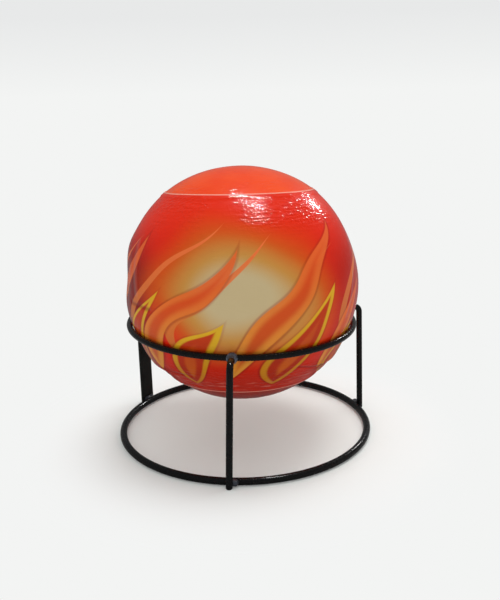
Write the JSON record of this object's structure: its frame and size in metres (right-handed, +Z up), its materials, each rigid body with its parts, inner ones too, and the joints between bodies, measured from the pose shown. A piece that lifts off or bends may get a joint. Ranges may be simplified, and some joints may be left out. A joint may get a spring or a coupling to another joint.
{
  "type": "fire extinguisher ball in a wire stand",
  "caption": "Round throw-in dry powder extinguisher in glossy printed shrink film, resting in a welded black wire ring stand with round wire legs and a flat wall strap.",
  "frame": {"origin": "on the floor, on the axis shared by the ball and both rings of the stand", "axes": "+Z up along the stand's axis, from which the ball leans back by about 4 degrees; -Y is the front, where the front leg stands; +X to the right"},
  "size_m": [0.168, 0.172, 0.1759],
  "materials": {
    "printed_film": "glossy printed shrink film, red with flame colours, lightly wrinkled",
    "top_film": "glossy orange-red shrink film",
    "bottom_film": "glossy dark red shrink film",
    "foam": "white expanded foam",
    "fuse_tape": "buff paper tape",
    "fuse": "waxed cotton safety fuse",
    "charge_card": "wound brown card",
    "charge_plug": "pale moulded plastic",
    "burst_powder": "pressed black powder",
    "dry_powder": "pale yellow fine powder",
    "black_wire": "semi-gloss black coated steel wire",
    "black_strip": "satin black coated steel strip",
    "weld": "lumpy weld metal under black coating"
  },
  "bodies": {
    "root": {"film_sleeve": "printed_film", "film_top_cap": "top_film", "film_bottom_cap": "bottom_film", "foam_upper_half": "foam", "foam_lower_half": "foam", "fuse_junction_top": "fuse_tape", "fuse_junction_bottom": "fuse_tape", "fuse_lead_top": "fuse", "fuse_lead_bottom": "fuse", "fuse_cord_1": "fuse", "fuse_cord_2": "fuse", "fuse_cord_3": "fuse", "fuse_cord_4": "fuse", "charge_tube": "charge_card", "charge_plug_top": "charge_plug", "charge_plug_bottom": "charge_plug", "burst_charge": "burst_powder", "powder_fill": "dry_powder", "base_ring": "black_wire", "upper_ring": "black_wire", "front_leg": "black_wire", "right_leg": "black_wire", "back_strap": "black_strip", "upper_welds": "weld", "base_welds": "weld"}
  },
  "joints": []
}
